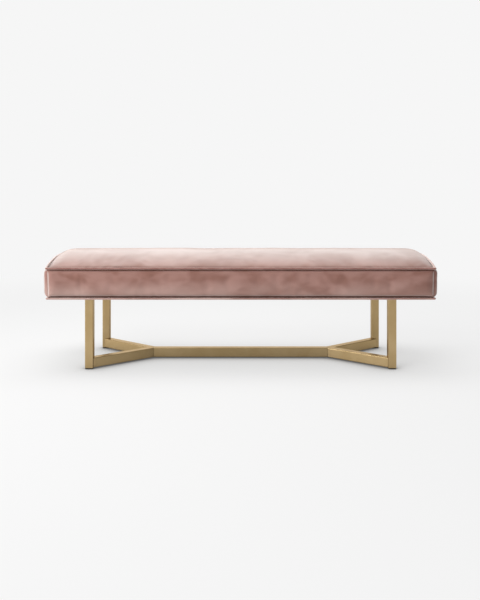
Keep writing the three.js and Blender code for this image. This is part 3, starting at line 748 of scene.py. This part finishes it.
def two_tone_grain():
    """Grain as a group: a colour that drifts between two tones with a noise, and the noise as a height."""
    group, given, result = node_group(
        "two_tone_grain",
        {
            "Vector": ("NodeSocketVector", (0, 0, 0)),
            "Scale": ("NodeSocketFloat", 100.0),
            "First tone": ("NodeSocketColor", (0.5, 0.5, 0.5, 1)),
            "Second tone": ("NodeSocketColor", (0.5, 0.5, 0.5, 1)),
        },
        {"Colour": "NodeSocketColor", "Height": "NodeSocketFloat"},
    )
    grain = noise_node(group, given.outputs["Vector"], 1.0, detail=4.0, distortion=0.4)
    group.links.new(given.outputs["Scale"], grain.node.inputs["Scale"])
    drift = map_range(group, grain, GRAIN_RANGE)
    colour = mix_colour(group, drift, given.outputs["First tone"], given.outputs["Second tone"])
    group.links.new(colour, result.inputs["Colour"])
    group.links.new(grain, result.inputs["Height"])


def place_grain(tree, first_tone, second_tone, scale, stretch=(1.0, 1.0, 1.0)):
    """The grain group in a material, with its own tones, scale and stretch."""
    grain = tree.nodes.new("ShaderNodeGroup")
    grain.node_tree = bpy.data.node_groups["two_tone_grain"]
    grain.inputs["Scale"].default_value = scale
    grain.inputs["First tone"].default_value = (*first_tone, 1)
    grain.inputs["Second tone"].default_value = (*second_tone, 1)
    tree.links.new(object_vector(tree, stretch), grain.inputs["Vector"])
    return grain.outputs


def satin_brass():
    """Satin brass-finished tube: a faint drift of colour, and a fine grain in its roughness and surface."""
    made, tree, shader = material(
        "satin_brass", roughness=0.36, metallic=1.0, Specular_Tint=(0.72, 0.66, 0.58, 1.0)
    )
    drift = place_grain(tree, *BRASS_TONES, BRASS_DRIFT_SCALE)
    tree.links.new(drift["Colour"], shader.inputs["Base Color"])
    grain = noise_node(tree, object_vector(tree), BRASS_GRAIN_SCALE, detail=3.0)
    rough = map_range(tree, grain, BRASS_GRAIN_RANGE, BRASS_ROUGHNESS)
    tree.links.new(rough, shader.inputs["Roughness"])
    bump(tree, shader, grain, BRASS_GRAIN_STRENGTH, BRASS_GRAIN_DEPTH)
    return made


def grained(
    name, first_tone, second_tone, scale, roughness, metallic=0.0, stretch=(1.0, 1.0, 1.0)
):
    """A two-tone grained finish for timber, plastic, plated steel and the dust cloth."""
    made, tree, shader = material(name, roughness, metallic)
    grain = place_grain(tree, first_tone, second_tone, scale, stretch)
    tree.links.new(grain["Colour"], shader.inputs["Base Color"])
    bump(tree, shader, grain["Height"], GRAIN_STRENGTH, GRAIN_DEPTH)
    return made


def set_material(piece, made):
    """One material for the whole piece."""
    piece.data.materials.clear()
    piece.data.materials.append(made)


def painted_floor_shadow(tree, reach, openness, darkest_share):
    """A share of light that falls where the bench stands near: the openness within a reach, eased."""
    around = tree.nodes.new("ShaderNodeAmbientOcclusion")
    around.inputs["Distance"].default_value = reach
    around.samples = SHADE_SAMPLES
    return map_range(tree, around.outputs["AO"], openness, (darkest_share, 1.0))


def studio_floor():
    """A flat pale floor, part lit and part glowing, that fades to the backdrop's tone away from the bench."""
    side = np.array([-FLOOR_SIDE, FLOOR_SIDE])
    x, y = np.meshgrid(side, side, indexing="ij")
    floor = mesh_object("studio_floor", [(np.stack([x, y, 0 * x], axis=-1), False)], smooth=False)
    made = bpy.data.materials.new("pale_floor")
    made.use_nodes = True
    tree = made.node_tree
    tree.nodes.clear()
    glow = tree.nodes.new("ShaderNodeEmission")
    glow.inputs["Color"].default_value = (BACKDROP_TONE, BACKDROP_TONE, BACKDROP_TONE, 1)
    matt = tree.nodes.new("ShaderNodeBsdfDiffuse")
    matt.inputs["Color"].default_value = (FLOOR_ALBEDO, FLOOR_ALBEDO, FLOOR_ALBEDO, 1)
    blend = tree.nodes.new("ShaderNodeMixShader")
    out = tree.nodes.new("ShaderNodeOutputMaterial")
    length = tree.nodes.new("ShaderNodeVectorMath")
    length.operation = "LENGTH"
    tree.links.new(object_vector(tree), length.inputs[0])
    fade = map_range(tree, length.outputs["Value"], FLOOR_FADE_RANGE, (FLOOR_LIT_SHARE, 0.0))
    # Painted shadow: the floor's glow is darkened where the bench is near, beside the base and under the
    # seat.
    by_the_base = painted_floor_shadow(tree, CONTACT_REACH, CONTACT_RANGE, CONTACT_GLOW_SHARE)
    under_the_seat = painted_floor_shadow(tree, SEAT_REACH, SEAT_RANGE, SEAT_GLOW_SHARE)
    open_share = math_node(tree, "MULTIPLY", by_the_base, under_the_seat)
    spread = tree.nodes.new("ShaderNodeVectorMath")
    spread.operation = "LENGTH"
    tree.links.new(object_vector(tree, FLOOR_BOUNCE_STRETCH), spread.inputs[0])
    near = map_range(tree, spread.outputs["Value"], FLOOR_BOUNCE_RANGE, (FLOOR_BOUNCE, 1.0))
    path = tree.nodes.new("ShaderNodeLightPath")
    seen = math_node(tree, "MAXIMUM", near, path.outputs["Is Camera Ray"])
    tree.links.new(math_node(tree, "MULTIPLY", open_share, seen), glow.inputs["Strength"])
    tree.links.new(fade, blend.inputs[0])
    tree.links.new(glow.outputs[0], blend.inputs[1])
    tree.links.new(matt.outputs[0], blend.inputs[2])
    tree.links.new(blend.outputs[0], out.inputs["Surface"])
    set_material(floor, made)


def studio_world():
    """Backdrop tone for the camera, and for the object a room that is brighter on the left and behind."""
    world = bpy.data.worlds.new("studio_room")
    world.use_nodes = True
    tree = world.node_tree
    tree.nodes.clear()
    seen = tree.nodes.new("ShaderNodeBackground")
    seen.inputs["Color"].default_value = (BACKDROP_TONE, BACKDROP_TONE, BACKDROP_TONE, 1)
    room = tree.nodes.new("ShaderNodeBackground")
    coordinates = tree.nodes.new("ShaderNodeTexCoord")
    axes = tree.nodes.new("ShaderNodeSeparateXYZ")
    tree.links.new(coordinates.outputs["Generated"], axes.inputs[0])
    sideways = map_range(tree, axes.outputs["X"], ROOM_SIDE_RANGE, ROOM_SIDE_TONES)
    behind = map_range(tree, axes.outputs["Y"], ROOM_BEHIND_RANGE, (0.0, ROOM_BEHIND_TONE))
    tone = math_node(tree, "ADD", sideways, behind)
    grey = tree.nodes.new("ShaderNodeCombineColor")
    for socket in grey.inputs[:3]:
        tree.links.new(tone, socket)
    tree.links.new(grey.outputs[0], room.inputs["Color"])
    room.inputs["Strength"].default_value = ROOM_STRENGTH
    path = tree.nodes.new("ShaderNodeLightPath")
    blend = tree.nodes.new("ShaderNodeMixShader")
    out = tree.nodes.new("ShaderNodeOutputWorld")
    tree.links.new(path.outputs["Is Camera Ray"], blend.inputs[0])
    tree.links.new(room.outputs[0], blend.inputs[1])
    tree.links.new(seen.outputs[0], blend.inputs[2])
    tree.links.new(blend.outputs[0], out.inputs["Surface"])
    bpy.context.scene.world = world


def soft_light(name, place, target, width, height, power):
    """A rectangular area light, aimed from its place at a target; sizes in metres, power in watts."""
    lamp = bpy.data.lights.new(name, "AREA")
    lamp.shape = "RECTANGLE"
    lamp.size, lamp.size_y, lamp.energy = width, height, power
    holder = bpy.data.objects.new(name, lamp)
    holder.location = place
    aim = np.array(target) - np.array(place)
    flat = math.hypot(aim[0], aim[1])
    holder.rotation_euler = (math.atan2(flat, -aim[2]), 0, math.atan2(aim[1], aim[0]) - math.pi / 2)
    bpy.context.scene.collection.objects.link(holder)


def photo_camera():
    """A level camera in front of the bench, with only the shift that the photograph's framing has."""
    lens = bpy.data.cameras.new("photo_camera")
    lens.sensor_width = SENSOR_MM
    lens.sensor_fit = "AUTO"
    lens.lens = FOCAL_PX / IMAGE_HEIGHT * SENSOR_MM
    lens.shift_x = (IMAGE_WIDTH / 2 - CENTRE_PX) / IMAGE_HEIGHT
    lens.shift_y = (HORIZON_PX - IMAGE_HEIGHT / 2) / IMAGE_HEIGHT
    lens.clip_end = 100
    camera = bpy.data.objects.new("photo_camera", lens)
    camera.location = (0, POST_LOW[1] - CAMERA_DISTANCE, CAMERA_HEIGHT)
    camera.rotation_euler = (math.pi / 2, 0, 0)
    bpy.context.scene.collection.objects.link(camera)
    bpy.context.scene.camera = camera


photo_camera()
studio_world()
studio_floor()
soft_light("key_light", (-1.9, -2.6, 2.6), (0, 0, 0.3), width=1.8, height=1.8, power=54)
soft_light("low_fill", (-2.9, -1.4, 0.5), (0.2, 0, 0.15), width=1.2, height=0.8, power=24)
soft_light("top_light", (-0.3, 0.5, 2.7), (0, 0, 0.4), width=2.6, height=1.4, power=45)

bpy.context.scene.view_settings.view_transform = "Standard"

crushed_pile()
two_tone_grain()
# The pale tone is painted light low down, and the two tones for where the velvet turns from the eye are
# painted sheen.
VELVET = velvet(
    "dusty_rose_velvet",
    deep=(0.265, 0.135, 0.108),
    brushed=(0.36, 0.203, 0.172),
    pale=(0.52, 0.36, 0.32),
    painted_sheen_deep=(0.565, 0.488, 0.46),
    painted_sheen_pale=(0.65, 0.58, 0.553),
    patch_scale=6.5,
)
# The piping's velvet: its pale tone is painted light low down, and its two tones for where it turns from the
# eye are painted sheen.
PIPE_VELVET = velvet(
    "piping_velvet",
    deep=(0.265, 0.133, 0.11),
    brushed=(0.33, 0.178, 0.154),
    pale=(0.6, 0.44, 0.4),
    painted_sheen_deep=(0.77, 0.65, 0.61),
    painted_sheen_pale=(0.83, 0.71, 0.67),
    patch_scale=20.0,
)
BRASS = satin_brass()

cushion = seat_cushion()
settle_cover(cushion)
set_material(cushion, VELVET)
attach(cushion, "root")
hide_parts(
    "top_panel", "front_boxing", "rear_boxing", "left_boxing", "right_boxing", "wadding", "foam_core"
)

top_pipe = piping("top_seam_piping", HALF_LENGTH, HALF_DEPTH, crown_height, SEEDS["top_piping"])
bottom_pipe = piping(
    "bottom_seam_piping",
    HALF_LENGTH - DRAW_IN,
    HALF_DEPTH - DRAW_IN,
    lambda x, y: np.full_like(x, (BOTTOM_PIPE_LOW[2] + BOTTOM_PIPE_HIGH[2]) / 2),
    SEEDS["bottom_piping"],
)
for pipe, node in ((top_pipe, "top_piping"), (bottom_pipe, "bottom_piping")):
    set_material(pipe, PIPE_VELVET)
    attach(pipe, "root")
    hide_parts(node)

cloth = dust_cloth()
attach(cloth, "root")
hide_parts("dust_cover")
CLOTH_FINISH = grained("dust_cloth", (0.56, 0.54, 0.5), (0.66, 0.64, 0.6), scale=900, roughness=0.95)
set_material(cloth, CLOTH_FINISH)

PLASTIC = grained("black_plastic", (0.012, 0.012, 0.012), (0.02, 0.02, 0.02), scale=300, roughness=0.5)
ZINC = grained("zinc_plate", (0.55, 0.56, 0.57), (0.66, 0.67, 0.68), scale=200, roughness=0.35, metallic=1.0)
SOFTWOOD = grained(
    "softwood", (0.62, 0.42, 0.22), (0.72, 0.53, 0.31), scale=30, roughness=0.7, stretch=(0.1, 1, 1)
)
PLYWOOD = grained(
    "plywood", (0.6, 0.42, 0.24), (0.7, 0.52, 0.32), scale=24, roughness=0.7, stretch=(0.15, 1, 1)
)
FINISHES = {
    "brass_tube": BRASS,
    "black_plastic": PLASTIC,
    "zinc_screw": ZINC,
    "softwood": SOFTWOOD,
    "plywood": PLYWOOD,
}
SLOTS = {part["node"]: part["material_slot"] for part in frame["record"]["subparts"]}
for name, node in frame["nodes"].items():
    if SLOTS[name] in FINISHES:
        set_material(node, FINISHES[SLOTS[name]])
